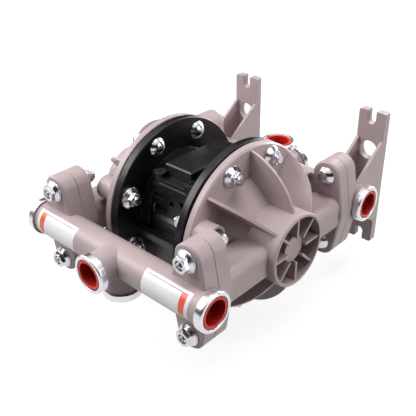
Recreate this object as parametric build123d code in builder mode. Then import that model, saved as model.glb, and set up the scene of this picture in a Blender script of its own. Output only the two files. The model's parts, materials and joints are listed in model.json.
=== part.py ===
from build123d import *
import os
from math import asin, cos, radians, sin, sqrt

# Air operated double diaphragm pump, lying on the rims of its two air caps.
# X runs along the diaphragm shaft, Y from the outlet manifold to the inlet manifold, Z is up.
# The origin lies on the floor below the middle of the pump's outline. Sizes are in millimetres.

# Centre section
air_cap_radius = 78.5
bolt_setback = 12.5
bolt_circle = air_cap_radius - bolt_setback
cover_setback = 0.5
cover_radius = air_cap_radius - cover_setback
diaphragm_setback = 3.0
diaphragm_radius = cover_radius - diaphragm_setback
body_half_width = 22.6
body_half_length = 44.0
body_deck = 39.0
body_belly = -48.0
body_belly_length = 47.0
body_shoulder = 6.0
body_corner = 9.0
groove_depth = 3.0
groove_height = 4.5
groove_levels = [27.5, 15.0]
tie_bar_height = 6.5
tie_bar_level = -10.0
tie_bar_reach = 56.5
gasket_thickness = 1.4
air_cap_wall = 4.0
air_cap_flange = 7.7
air_chamber_depth = 14.3
chamber_radius = 46.0
bulge_wall = 3.6
cap_edge_chamfer = 0.8
air_cap_screw_circle = 40.2
air_cap_screw_radius = 2.5
air_cap_screw_head_radius = 4.3
air_cap_screw_head_height = 2.6
air_cap_screw_depth = 10.0

# Shaft, diaphragms and their plates
shaft_radius = 8.0
running_clearance = 0.05
free_clearance = 0.3
bushing_wall = 2.5
bushing_inner_end = 5.0
bushing_length = 14.0
seal_wall = 4.0
stroke = 9.0
diaphragm_thickness = 1.5
convolution_radius = 40.5
convolution_size = 3.2
air_plate_radius = 34.0
air_plate_thickness = 4.0
fluid_plate_radius = 33.0
fluid_plate_thickness = 6.0
air_plate_edge = 1.5
fluid_plate_edge = 3.0
diaphragm_bolt_radius = 4.0
diaphragm_bolt_depth = 18.0
diaphragm_bolt_head_radius = 7.0
diaphragm_bolt_head_height = 5.5

# Pilot rod and main air valve
pilot_radius = 3.0
pilot_spot = (20.0, -8.0)
pilot_wall = 2.0
pilot_chamfer = 0.5
pilot_follow = 0.4
spool_level = 24.0
spool_radius = 8.0
spool_waist = 5.0
spool_land = 12.0
spool_travel = 6.0
spool_end_room = 4.0
spool_cap_radius = 11.0
spool_cap_thickness = 6.0
spool_passage_radius = 3.0

# Valve cover on the top deck
valve_cover_width = 30.8
valve_cover_length = 70.0
valve_cover_height = 15.5
valve_cover_base_width = 44.0
valve_cover_base_length = 86.0
valve_cover_base = 3.5
valve_cover_wall = 3.0
valve_cover_chamfer = 1.2
valve_boss_radius = 6.0
valve_boss_height = 8.0
valve_boss_spot = (19.0, 38.0)
cover_gasket_thickness = 1.0
valve_screw_radius = 2.5
valve_screw_head_radius = 4.3
valve_screw_head_height = 2.6
valve_screw_depth = 14.0

# Air inlet and exhaust below the centre body
air_port_radius = 5.7
air_port_depth = 14.0
air_boss_radius = 11.0
air_boss_reach = 8.0
air_boss_offset = 20.0
exhaust_port_radius = 6.5
muffler_radius = 12.0
muffler_length = 13.0
muffler_groove = 1.4
muffler_groove_count = 3
muffler_collar = 3.0

# Fluid covers
cover_flange = 7.4
cover_edge = 1.5
dome_foot_radius = 51.0
dome_root_x = 72.5
dome_bend = (60.5, 43.6)
cover_wall = 4.0
dome_wall_drop = 6.0
hub_radius = 33.0
hub_face = 103.5
hub_wall = 2.8
hub_chamfer = 0.8
hub_floor = 5.0
hub_disc_radius = 12.0
hub_disc_face = 98.0
spoke_count = 8
spoke_thickness = 2.2
spoke_setback = 1.6
chamber_gap = 1.7
chamber_end_radius = 26.0
rib_angles = [45.0, 90.0, 135.0, -45.0, -90.0, -135.0]
rib_thickness = 2.5
rib_foot_radius = 75.3
rib_bow = (80.0, 59.8)
rib_tip_x = 97.0

# Flange fasteners
bolt_count = 8
bolt_start_angle = 22.5
bolt_radius = 4.0
bolt_hole_clearance = 0.4
thread_clearance = 0.1
washer_radius = 9.8
washer_thickness = 1.4
nut_flange_radius = 8.8
nut_cone_height = 3.2
nut_cone_taper = 36.0
nut_corner_radius = 6.6
nut_height = 8.0
bolt_end = 2.2
dome_head_radius = 8.6
dome_head_height = 5.4
bolt_boss_radius = 11.0
bolt_boss_height = 15.6
bolt_boss_recess = 9.0

# Ducts and manifolds
duct_x = 79.7
duct_half_width = 17.0
duct_top = 14.5
duct_bottom = 16.5
duct_corner = 8.0
duct_bore = 12.5
duct_bore_end = 36.0
throat_radius = 8.0
throat_wall = 3.5
throat_y = 42.0
ear_middle_radius = 19.5
ear_end_radius = 13.6
ear_bolt_spacing = 68.2
ear_edge = 1.3
joint_edge = 0.6
outlet_joint_y = 91.8
outlet_cover_ear = 14.8
outlet_manifold_ear = 14.5
inlet_joint_y = 83.5
inlet_cover_ear = 13.0
inlet_manifold_ear = 15.0
tube_y = 105.0
tube_radius = 15.0
tube_bore = 11.0
ring_to_ear = 0.3
axial_port_reach = 138.0
vertical_port_reach = 34.0

# Port rings and caps
port_thread_radius = 12.1
port_thread_depth = 11.0
ring_radius = 17.0
ring_length = 7.0
ring_face = 1.5
ring_mouth_radius = 13.3
ring_chamfer = 1.0
cap_rim = 1.2
cap_depth = 10.0
cap_wall = 2.2
cap_floor = 1.8

# Ball check valves
ball_radius = 10.5
ball_lift = 5.0
seat_bore = 8.5
seat_radius = 14.0
seat_thickness = 6.0
seat_gap = 0.3
stop_bar_width = 3.0
o_ring_radius = 16.2
o_ring_section = 1.2
groove_clearance = 0.15

# Feet on the inlet manifold
foot_inner_x = 63.1
foot_outer_x = 91.25
foot_reach = 155.8
foot_thickness = 8.3
foot_level = 1.8
foot_half_height = 69.8
foot_corner = 2.0
foot_notch_x = 76.8
foot_notch_width = 9.0
foot_notch_depth = 13.0
foot_hole_radius = 9.5
foot_hole_level = 30.0
foot_web = 3.0
foot_web_top = 43.5
foot_web_root = 12.6

# How far a cut runs past the face that it opens
cut_past = 1.0

# Places worked out from the sizes above
shaft_z = air_cap_radius
shaft_y = (axial_port_reach - foot_reach) / 2
air_cap_face = body_half_width + gasket_thickness
chamber_floor = air_cap_face + air_cap_wall
cap_flange_out = chamber_floor + air_chamber_depth
cap_flange_in = cap_flange_out - air_cap_flange
cover_face = cap_flange_out + diaphragm_thickness
cover_flange_out = cover_face + cover_flange
bulge_radius = chamber_radius + bulge_wall
bushing_radius = shaft_radius + bushing_wall
seal_radius = shaft_radius + seal_wall
plate_face = cap_flange_out - air_plate_thickness
fluid_plate_out = cover_face + fluid_plate_thickness
bolt_hole = bolt_radius + bolt_hole_clearance
boss_face = cover_flange_out + bolt_boss_height
boss_seat = boss_face - bolt_boss_recess
cell_radius = hub_radius - hub_wall
chamber_end = fluid_plate_out + diaphragm_bolt_head_height + stroke + chamber_gap
hub_cell_floor = chamber_end + hub_floor
spool_length = 2 * (body_half_length - spool_cap_thickness - spool_travel - spool_end_room)
duct_sides = [-duct_x, duct_x]
boss_angles = [bolt_start_angle + step for step in (0, 135, 180, 315)]
head_angles = [bolt_start_angle + step for step in (45, 90, 225, 270)]

# The outlet is on the -Y side of the shaft and the inlet on the +Y side
outlet = -1
inlet = 1
side_port_reach = duct_x + ear_middle_radius + ring_to_ear + ring_length
ear_bolt_z = ear_bolt_spacing / 2
joint_y = {outlet: -outlet_joint_y, inlet: inlet_joint_y}
cover_ear = {outlet: outlet_cover_ear, inlet: inlet_cover_ear}
manifold_ear = {outlet: outlet_manifold_ear, inlet: inlet_manifold_ear}
cover_ear_face = {side: joint_y[side] - side * cover_ear[side] for side in (outlet, inlet)}
manifold_ear_face = {side: joint_y[side] + side * manifold_ear[side] for side in (outlet, inlet)}
ball_over_seat = sqrt((ball_radius + seat_gap) ** 2 - seat_bore**2)
ball_y = {side: joint_y[side] - ball_over_seat for side in (outlet, inlet)}
stop_y = {side: ball_y[side] - ball_lift - ball_radius - seat_gap for side in (outlet, inlet)}

os.makedirs("parts", exist_ok=True)


# Planes and small shapes that the pieces share
def facing_x(x, y=0.0, z=0.0, outward=1):
    """A plane square to the shaft, measured from the shaft's middle; its own x runs along +Y."""
    return Plane(origin=(x, shaft_y + y, shaft_z + z), x_dir=(0, 1, 0), z_dir=(outward, 0, 0))


def facing_y(y, x=0.0, z=0.0, outward=1):
    """A plane square to the flow, measured from the shaft's middle; its own x runs along +X."""
    return Plane(origin=(x, shaft_y + y, shaft_z + z), x_dir=(1, 0, 0), z_dir=(0, outward, 0))


def facing_z(z, x=0.0, y=0.0, outward=1):
    """A level plane, measured from the shaft's middle; its own x runs along +X."""
    return Plane(origin=(x, shaft_y + y, shaft_z + z), x_dir=(1, 0, 0), z_dir=(0, 0, outward))


side_view = facing_y(0, outward=-1)
shaft_axis = Axis((0, shaft_y, shaft_z), (1, 0, 0))


def rod(plane, radius, length, mode=Mode.ADD):
    """A round bar that rises from the plane, added to or cut from the piece being built."""
    with BuildSketch(plane) as outline:
        Circle(radius)
    extrude(outline.sketch, amount=length, mode=mode)


def save(piece, name):
    """Labels a finished piece and writes its STEP file."""
    piece.label = name
    export_step(piece, f"parts/{name}.step")


def ring(plane, outer, inner, length):
    """A plain ring that stands on the plane."""
    with BuildPart() as band:
        with BuildSketch(plane):
            Circle(outer)
            Circle(inner, mode=Mode.SUBTRACT)
        extrude(amount=length)
    return band.part


def mirrored(piece):
    """The same piece on the other side of the pump."""
    with BuildPart() as other:
        mirror(piece, about=Plane.YZ)
    return other.part


def both_sides(piece):
    """One node that holds a piece and its twin on the other side."""
    with BuildPart() as pair:
        add(piece)
        mirror(piece, about=Plane.YZ)
    return pair.part


# Centre body: the moulded block between the air caps
with BuildPart() as centre_body:
    with BuildSketch(facing_x(-body_half_width)):
        with BuildLine():
            Polyline(
                (0, body_deck),
                (body_half_length, body_deck),
                (body_half_length, body_shoulder + groove_depth),
                (body_belly_length, body_shoulder),
                (body_belly_length, body_belly + body_corner),
                (body_belly_length - body_corner, body_belly),
                (0, body_belly),
                close=True,
            )
        make_face()
        for level in groove_levels:
            with Locations((body_half_length - groove_depth / 2, level)):
                Rectangle(groove_depth, groove_height, mode=Mode.SUBTRACT)
        mirror(about=Plane.YZ)
    extrude(amount=2 * body_half_width)
    for side in (-1, 1):
        bar_middle = side * (tie_bar_reach + bulge_radius + free_clearance) / 2
        bar_depth = tie_bar_reach - bulge_radius - free_clearance
        with BuildSketch(facing_x(-cap_flange_in)):
            with Locations((bar_middle, tie_bar_level)):
                Rectangle(bar_depth, tie_bar_height)
        extrude(amount=2 * cap_flange_in)
        with BuildSketch(facing_x(-body_half_width)):
            with Locations((side * (tie_bar_reach + body_belly_length) / 2, tie_bar_level)):
                Rectangle(tie_bar_reach - body_belly_length, tie_bar_height)
        extrude(amount=2 * body_half_width)
    rod(facing_z(body_belly, y=air_boss_offset, outward=-1), air_boss_radius, air_boss_reach)
    rod(facing_z(body_belly, y=-air_boss_offset, outward=-1), air_boss_radius, air_boss_reach)
    belly_mouth = body_belly - air_boss_reach
    rod(facing_z(belly_mouth, y=air_boss_offset), air_port_radius, air_port_depth, Mode.SUBTRACT)
    rod(facing_z(belly_mouth, y=-air_boss_offset), exhaust_port_radius, air_port_depth, Mode.SUBTRACT)
    shaft_bore = shaft_radius + free_clearance
    rod(facing_x(-body_half_width), shaft_bore, 2 * body_half_width, Mode.SUBTRACT)
    for outward in (-1, 1):
        bushing_seat = facing_x(outward * bushing_inner_end, outward=outward)
        rod(bushing_seat, bushing_radius, body_half_width - bushing_inner_end, Mode.SUBTRACT)
        seal_seat = facing_x(outward * (bushing_inner_end + bushing_length), outward=outward)
        rod(seal_seat, seal_radius, body_half_width, Mode.SUBTRACT)
    pilot_plane = facing_x(-body_half_width, pilot_spot[0], pilot_spot[1])
    rod(pilot_plane, pilot_radius + running_clearance, 2 * body_half_width, Mode.SUBTRACT)
    spool_plane = facing_y(-body_belly_length, z=spool_level)
    rod(spool_plane, spool_radius + running_clearance, 2 * body_belly_length, Mode.SUBTRACT)
    for outward in (-1, 1):
        cap_seat = facing_y(outward * (body_half_length - spool_cap_thickness), z=spool_level, outward=outward)
        rod(cap_seat, spool_cap_radius, spool_cap_thickness + body_belly_length, Mode.SUBTRACT)
    rod(facing_z(spool_level), spool_passage_radius, body_deck - spool_level, Mode.SUBTRACT)
    screw_spots = [(sx * valve_boss_spot[0], sy * valve_boss_spot[1]) for sx in (-1, 1) for sy in (-1, 1)]
    for screw_x, screw_y in screw_spots:
        screw_hole = facing_z(body_deck - valve_screw_depth, screw_x, screw_y)
        rod(screw_hole, valve_screw_radius + thread_clearance, valve_screw_depth, Mode.SUBTRACT)
    with BuildSketch(facing_x(-body_half_width)):
        with PolarLocations(air_cap_screw_circle, 4, start_angle=45):
            Circle(air_cap_screw_radius + thread_clearance)
    extrude(amount=air_cap_screw_depth, mode=Mode.SUBTRACT)
    with BuildSketch(facing_x(body_half_width)):
        with PolarLocations(air_cap_screw_circle, 4, start_angle=45):
            Circle(air_cap_screw_radius + thread_clearance)
    extrude(amount=-air_cap_screw_depth, mode=Mode.SUBTRACT)
save(centre_body.part, "centre_body")


# Valve cover with its raised lid, gasket and screws
with BuildPart() as valve_gasket:
    with BuildSketch(facing_z(body_deck)):
        RectangleRounded(valve_cover_base_width, valve_cover_base_length, valve_boss_radius)
        Circle(spool_passage_radius, mode=Mode.SUBTRACT)
        with Locations(*screw_spots):
            Circle(valve_screw_radius + thread_clearance, mode=Mode.SUBTRACT)
    extrude(amount=cover_gasket_thickness)
save(valve_gasket.part, "valve_cover_gasket")

valve_base = body_deck + cover_gasket_thickness
with BuildPart() as valve_cover:
    with BuildSketch(facing_z(valve_base)):
        RectangleRounded(valve_cover_base_width, valve_cover_base_length, valve_boss_radius)
    extrude(amount=valve_cover_base)
    with BuildSketch(facing_z(valve_base)):
        Rectangle(valve_cover_width, valve_cover_length)
    extrude(amount=valve_cover_height)
    chamfer(valve_cover.edges().group_by(Axis.Z)[-1], valve_cover_chamfer)
    with BuildSketch(facing_z(valve_base)):
        with Locations(*screw_spots):
            Circle(valve_boss_radius)
    extrude(amount=valve_boss_height)
    with BuildSketch(facing_z(valve_base)):
        Rectangle(valve_cover_width - 2 * valve_cover_wall, valve_cover_length - 2 * valve_cover_wall)
    extrude(amount=valve_cover_height - valve_cover_wall, mode=Mode.SUBTRACT)
    with BuildSketch(facing_z(valve_base)):
        with Locations(*screw_spots):
            Circle(valve_screw_radius + free_clearance)
    extrude(amount=valve_boss_height, mode=Mode.SUBTRACT)
    with BuildSketch(facing_z(valve_base + valve_boss_height - valve_screw_head_height)):
        with Locations(*screw_spots):
            Circle(valve_screw_head_radius + free_clearance)
    extrude(amount=valve_screw_head_height, mode=Mode.SUBTRACT)
save(valve_cover.part, "valve_cover")

with BuildPart() as valve_screws:
    screw_seat = valve_base + valve_boss_height - valve_screw_head_height
    for screw_x, screw_y in screw_spots:
        rod(facing_z(screw_seat, screw_x, screw_y), valve_screw_head_radius, valve_screw_head_height)
        screw_length = screw_seat - body_deck + valve_screw_depth - free_clearance
        rod(facing_z(screw_seat, screw_x, screw_y, -1), valve_screw_radius, screw_length)
        socket = facing_z(screw_seat + valve_screw_head_height, screw_x, screw_y, -1)
        with BuildSketch(socket):
            RegularPolygon(valve_screw_radius, 6)
        extrude(amount=valve_screw_head_height / 2, mode=Mode.SUBTRACT)
save(valve_screws.part, "valve_cover_screws")


# Main air valve: a spool that slides across the pump, and the plugs at the ends of its bore
with BuildPart() as valve_spool:
    rod(facing_y(-spool_length / 2, z=spool_level), spool_waist, spool_length)
    for land_start in (-spool_length / 2, -spool_land / 2, spool_length / 2 - spool_land):
        rod(facing_y(land_start, z=spool_level), spool_radius, spool_land)
save(valve_spool.part, "valve_spool")

with BuildPart() as spool_caps:
    for outward in (-1, 1):
        cap_start = outward * (body_half_length - spool_cap_thickness)
        rod(facing_y(cap_start, z=spool_level, outward=outward), spool_cap_radius, spool_cap_thickness)
        finger_hole = facing_y(outward * body_half_length, z=spool_level, outward=-outward)
        rod(finger_hole, valve_screw_radius, spool_cap_thickness / 2, Mode.SUBTRACT)
save(spool_caps.part, "spool_end_caps")


# Air caps: black dished flanges that close the air chambers
with BuildPart() as right_air_cap:
    with BuildSketch(side_view):
        with BuildLine():
            Polyline(
                (air_cap_face, shaft_radius + free_clearance),
                (air_cap_face, bulge_radius),
                (cap_flange_in, bulge_radius),
                (cap_flange_in, air_cap_radius),
                (cap_flange_out, air_cap_radius),
                (cap_flange_out, chamber_radius),
                (chamber_floor, chamber_radius),
                (chamber_floor, shaft_radius + free_clearance),
                close=True,
            )
        make_face()
    revolve(axis=shaft_axis)
    rim_edges = right_air_cap.edges().filter_by(GeomType.CIRCLE).sort_by(SortBy.RADIUS)[-2:]
    chamfer(rim_edges, cap_edge_chamfer)
    with BuildSketch(facing_x(cap_flange_in)):
        with PolarLocations(bolt_circle, bolt_count, start_angle=bolt_start_angle):
            Circle(bolt_hole)
    extrude(amount=air_cap_flange, mode=Mode.SUBTRACT)
    with BuildSketch(facing_x(air_cap_face)):
        with PolarLocations(air_cap_screw_circle, 4, start_angle=45):
            Circle(air_cap_screw_radius + free_clearance)
        with Locations(pilot_spot):
            Circle(pilot_radius + pilot_wall)
    extrude(amount=air_cap_wall, mode=Mode.SUBTRACT)
save(right_air_cap.part, "right_air_cap")
save(mirrored(right_air_cap.part), "left_air_cap")

with BuildPart() as right_gasket:
    with BuildSketch(facing_x(body_half_width)):
        Circle(chamber_radius)
        with Locations((0, (body_deck + body_belly) / 2)):
            Rectangle(2 * body_half_length, body_deck - body_belly, mode=Mode.INTERSECT)
        Circle(seal_radius, mode=Mode.SUBTRACT)
        with PolarLocations(air_cap_screw_circle, 4, start_angle=45):
            Circle(air_cap_screw_radius + free_clearance, mode=Mode.SUBTRACT)
        with Locations(pilot_spot):
            Circle(pilot_radius + free_clearance, mode=Mode.SUBTRACT)
    extrude(amount=gasket_thickness)
save(both_sides(right_gasket.part), "air_cap_gaskets")

with BuildPart() as right_screws:
    with BuildSketch(facing_x(chamber_floor)):
        with PolarLocations(air_cap_screw_circle, 4, start_angle=45):
            Circle(air_cap_screw_head_radius)
    extrude(amount=air_cap_screw_head_height)
    with BuildSketch(facing_x(chamber_floor)):
        with PolarLocations(air_cap_screw_circle, 4, start_angle=45):
            Circle(air_cap_screw_radius)
    extrude(amount=-(air_cap_wall + gasket_thickness + air_cap_screw_depth - free_clearance))
save(both_sides(right_screws.part), "air_cap_screws")


# Diaphragm shaft with its bushings and seals
shaft_fit = shaft_radius + running_clearance
with BuildPart() as shaft:
    rod(facing_x(-plate_face), shaft_radius, 2 * plate_face)
    tapped_radius = diaphragm_bolt_radius + thread_clearance
    for outward in (-1, 1):
        tapped_hole = facing_x(outward * plate_face, outward=-outward)
        rod(tapped_hole, tapped_radius, diaphragm_bolt_depth, Mode.SUBTRACT)
save(shaft.part, "diaphragm_shaft")

bushing = ring(facing_x(bushing_inner_end), bushing_radius, shaft_fit, bushing_length)
save(both_sides(bushing), "shaft_bushings")
seal_start = bushing_inner_end + bushing_length
seal = ring(facing_x(seal_start), seal_radius, shaft_fit, body_half_width - seal_start)
save(both_sides(seal), "shaft_seals")


# Pilot rod, pushed over by the diaphragm plates near the end of each stroke
pilot_end = plate_face - stroke * (1 - pilot_follow) - free_clearance
with BuildPart() as pilot_rod:
    rod(facing_x(-pilot_end, pilot_spot[0], pilot_spot[1]), pilot_radius, 2 * pilot_end)
    chamfer(pilot_rod.edges().filter_by(GeomType.CIRCLE), pilot_chamfer)
save(pilot_rod.part, "pilot_rod")
pilot_seat = facing_x(air_cap_face, pilot_spot[0], pilot_spot[1])
pilot_bushing = ring(pilot_seat, pilot_radius + pilot_wall, pilot_radius + running_clearance, air_cap_wall)
save(both_sides(pilot_bushing), "pilot_bushings")


# Diaphragms and the plates that clamp them to the shaft
bolt_passage = diaphragm_bolt_radius + free_clearance
with BuildPart() as right_diaphragm:
    with BuildSketch(facing_x(cap_flange_out)):
        Circle(diaphragm_radius)
        Circle(bolt_passage, mode=Mode.SUBTRACT)
        with PolarLocations(bolt_circle, bolt_count, start_angle=bolt_start_angle):
            Circle(bolt_hole, mode=Mode.SUBTRACT)
    extrude(amount=diaphragm_thickness)
    with BuildSketch(side_view):
        with Locations((cover_face, convolution_radius)):
            Circle(convolution_size)
        with Locations((cover_face - convolution_size, convolution_radius)):
            Rectangle(2 * convolution_size, 2 * convolution_size, mode=Mode.SUBTRACT)
    revolve(axis=shaft_axis)
    with BuildSketch(side_view):
        with Locations((cap_flange_out, convolution_radius)):
            Circle(convolution_size - diaphragm_thickness / 2)
    revolve(axis=shaft_axis, mode=Mode.SUBTRACT)
save(right_diaphragm.part, "right_diaphragm")
save(mirrored(right_diaphragm.part), "left_diaphragm")

with BuildPart() as air_plate:
    rod(facing_x(plate_face), air_plate_radius, air_plate_thickness)
    chamfer(air_plate.edges().group_by(Axis.X)[0], air_plate_edge)
    rod(facing_x(plate_face), bolt_passage, air_plate_thickness, Mode.SUBTRACT)
save(both_sides(air_plate.part), "air_side_plates")

with BuildPart() as fluid_plate:
    rod(facing_x(cover_face), fluid_plate_radius, fluid_plate_thickness)
    fillet(fluid_plate.edges().group_by(Axis.X)[-1], fluid_plate_edge)
    rod(facing_x(cover_face), bolt_passage, fluid_plate_thickness, Mode.SUBTRACT)
save(both_sides(fluid_plate.part), "fluid_side_plates")

with BuildPart() as diaphragm_bolt:
    with BuildSketch(facing_x(fluid_plate_out)):
        RegularPolygon(diaphragm_bolt_head_radius, 6)
    extrude(amount=diaphragm_bolt_head_height)
    shank = fluid_plate_out - plate_face + diaphragm_bolt_depth - free_clearance
    rod(facing_x(fluid_plate_out, outward=-1), diaphragm_bolt_radius, shank)
save(both_sides(diaphragm_bolt.part), "diaphragm_bolts")


# Fluid covers: ribbed dome, spoked hub, two ducts and their two-bolt ears
def make_ear(joint, thickness):
    """A two-bolt ear that rises from its joint face: a large round middle drawn out to a small round at each bolt."""
    with BuildPart() as ear:
        with BuildSketch(joint):
            Circle(ear_middle_radius)
            with Locations((0, ear_bolt_z), (0, -ear_bolt_z)):
                Circle(ear_end_radius)
            make_hull()
        extrude(amount=thickness)
        flow = Axis(joint.origin, joint.z_dir)
        chamfer(ear.faces().sort_by(flow)[0].edges(), joint_edge)
        chamfer(ear.faces().sort_by(flow)[-1].edges(), ear_edge)
    return ear.part


def o_ring_groove(joint):
    """Cuts the groove of a joint's O-ring into the piece being built, from the plane of the joint."""
    with BuildSketch(joint) as groove:
        Circle(o_ring_radius + o_ring_section + groove_clearance)
        Circle(o_ring_radius - o_ring_section - groove_clearance, mode=Mode.SUBTRACT)
    extrude(groove.sketch, amount=2 * o_ring_section, mode=Mode.SUBTRACT)


with BuildPart() as right_cover:
    with BuildSketch(side_view):
        with BuildLine():
            Polyline(
                (dome_root_x, hub_radius),
                (hub_face - hub_chamfer, hub_radius),
                (hub_face, hub_radius - hub_chamfer),
                (hub_face, 0),
                (cover_face, 0),
                (cover_face, cover_radius - joint_edge),
                (cover_face + joint_edge, cover_radius),
                (cover_flange_out - cover_edge, cover_radius),
                (cover_flange_out, cover_radius - cover_edge),
                (cover_flange_out, dome_foot_radius),
            )
            ThreePointArc((cover_flange_out, dome_foot_radius), dome_bend, (dome_root_x, hub_radius))
        make_face()
    revolve(axis=shaft_axis)
    rib_root_x = cover_face + cover_flange / 2
    with BuildSketch(facing_y(cover_ear_face[outlet], duct_x, (duct_top - duct_bottom) / 2)):
        RectangleRounded(2 * duct_half_width, duct_top + duct_bottom, duct_corner)
    extrude(amount=cover_ear_face[inlet] - cover_ear_face[outlet])
    for side in (outlet, inlet):
        add(make_ear(facing_y(joint_y[side], duct_x, outward=-side), cover_ear[side]))
        throat = facing_x(rib_root_x, side * throat_y)
        rod(throat, throat_radius + throat_wall, duct_x - rib_root_x)
    rib_root = (rib_root_x, rib_foot_radius)
    rib_foot = (cover_flange_out, rib_foot_radius)
    rib_tip = (rib_tip_x, hub_radius)
    for angle in rib_angles:
        across = (0, -sin(radians(angle)), cos(radians(angle)))
        rib_plane = Plane(origin=(0, shaft_y, shaft_z), x_dir=(1, 0, 0), z_dir=across)
        with BuildSketch(rib_plane):
            with BuildLine():
                Polyline(rib_tip, (rib_tip_x, hub_disc_radius), (rib_root_x, hub_disc_radius), rib_root, rib_foot)
                ThreePointArc(rib_foot, rib_bow, rib_tip)
            make_face()
        extrude(amount=rib_thickness / 2, both=True)
    with BuildSketch(facing_x(rib_root_x)):
        for angle in boss_angles:
            with PolarLocations(bolt_circle, 1, start_angle=angle):
                Circle(bolt_boss_radius)
    extrude(amount=boss_face - rib_root_x)
    rod(facing_x(hub_cell_floor), cell_radius, hub_face - hub_cell_floor, Mode.SUBTRACT)
    rod(facing_x(hub_cell_floor), hub_disc_radius, hub_disc_face - hub_cell_floor)
    for spoke in range(spoke_count // 2):
        with BuildSketch(facing_x(hub_cell_floor)):
            Rectangle(2 * (hub_radius - hub_wall / 2), spoke_thickness, rotation=spoke * 360 / spoke_count)
            Circle(hub_disc_radius / 2, mode=Mode.SUBTRACT)
        extrude(amount=hub_face - spoke_setback - hub_cell_floor)
    rod(facing_x(hub_disc_face), hub_disc_radius, hub_face - hub_disc_face, Mode.SUBTRACT)
    with BuildSketch(side_view):
        with BuildLine():
            Polyline(
                (cover_face - cut_past, 0),
                (cover_face - cut_past, chamber_radius),
                (cover_flange_out - cover_wall / 2, chamber_radius),
                (dome_bend[0] - cover_wall / 2, dome_bend[1] - dome_wall_drop),
                (chamber_end, chamber_end_radius),
                (chamber_end, 0),
                close=True,
            )
        make_face()
    revolve(axis=shaft_axis, mode=Mode.SUBTRACT)
    for side in (outlet, inlet):
        bore_length = abs(joint_y[side]) - duct_bore_end
        rod(facing_y(joint_y[side], duct_x, outward=-side), duct_bore, bore_length, Mode.SUBTRACT)
        throat = facing_x(cover_flange_out, side * throat_y)
        rod(throat, throat_radius, duct_x - cover_flange_out, Mode.SUBTRACT)
        for bolt_z in (-ear_bolt_z, ear_bolt_z):
            rod(facing_y(joint_y[side], duct_x, bolt_z, -side), bolt_hole, cover_ear[side], Mode.SUBTRACT)
    outlet_joint = facing_y(joint_y[outlet], duct_x)
    rod(outlet_joint, seat_radius, seat_thickness, Mode.SUBTRACT)
    o_ring_groove(outlet_joint)
    with BuildSketch(facing_y(stop_y[inlet], duct_x, outward=-1)):
        Rectangle(stop_bar_width, 2 * duct_bore + stop_bar_width)
    extrude(amount=stop_bar_width)
    with BuildSketch(facing_x(cover_face)):
        with PolarLocations(bolt_circle, bolt_count, start_angle=bolt_start_angle):
            Circle(bolt_hole)
    extrude(amount=boss_face - cover_face, mode=Mode.SUBTRACT)
    with BuildSketch(facing_x(boss_seat)):
        for angle in boss_angles:
            with PolarLocations(bolt_circle, 1, start_angle=angle):
                Circle(dome_head_radius + free_clearance)
    extrude(amount=bolt_boss_recess, mode=Mode.SUBTRACT)
save(right_cover.part, "right_fluid_cover")
save(mirrored(right_cover.part), "left_fluid_cover")


# Manifolds: a cross tube with two ears, three end ports and one port square to them
def port_planes(side):
    """The four port mouths of a manifold, each plane facing out of its mouth."""
    away_from_shaft = (0, side, 0)
    tube_end_y = shaft_y + side * tube_y
    return [
        Plane(origin=(-side_port_reach, tube_end_y, shaft_z), x_dir=away_from_shaft, z_dir=(-1, 0, 0)),
        Plane(origin=(side_port_reach, tube_end_y, shaft_z), x_dir=away_from_shaft, z_dir=(1, 0, 0)),
        facing_y(side * axial_port_reach, outward=side),
        facing_z(side * vertical_port_reach, y=side * tube_y, outward=side),
    ]


def port_depths():
    """How far each port mouth stands from the middle of the tube, in the order of port_planes."""
    return [side_port_reach, side_port_reach, axial_port_reach - tube_y, vertical_port_reach]


def make_manifold(side):
    """A manifold on one side of the shaft, with a two-bolt ear at each duct of the fluid covers."""
    with BuildPart() as manifold:
        mouths = port_planes(side)
        for mouth, depth in zip(mouths, port_depths()):
            rod(mouth.offset(-ring_face), tube_radius, ring_face - depth)
        joints = [facing_y(joint_y[side], x, outward=side) for x in duct_sides]
        for joint in joints:
            add(make_ear(joint, manifold_ear[side]))
            rod(joint, ear_middle_radius + ring_to_ear, -tube_radius, Mode.SUBTRACT)
        for mouth, depth in zip(mouths, port_depths()):
            rod(mouth, tube_bore, -depth, Mode.SUBTRACT)
            rod(mouth, port_thread_radius, -ring_face - port_thread_depth, Mode.SUBTRACT)
        for joint in joints:
            rod(joint, duct_bore, tube_y - abs(joint_y[side]), Mode.SUBTRACT)
            with BuildSketch(joint):
                with Locations((0, ear_bolt_z), (0, -ear_bolt_z)):
                    Circle(bolt_hole)
            extrude(amount=manifold_ear[side], mode=Mode.SUBTRACT)
        for x in duct_sides:
            if side == inlet:
                rod(facing_y(joint_y[inlet], x), seat_radius, seat_thickness, Mode.SUBTRACT)
                o_ring_groove(facing_y(joint_y[inlet], x))
            else:
                with BuildSketch(facing_y(stop_y[outlet], x, outward=-1)):
                    Rectangle(stop_bar_width, tube_bore)
                extrude(amount=tube_y + tube_radius - cut_past + stop_y[outlet])
    return manifold.part


save(make_manifold(outlet), "outlet_manifold")
save(make_manifold(inlet), "inlet_manifold")


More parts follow.
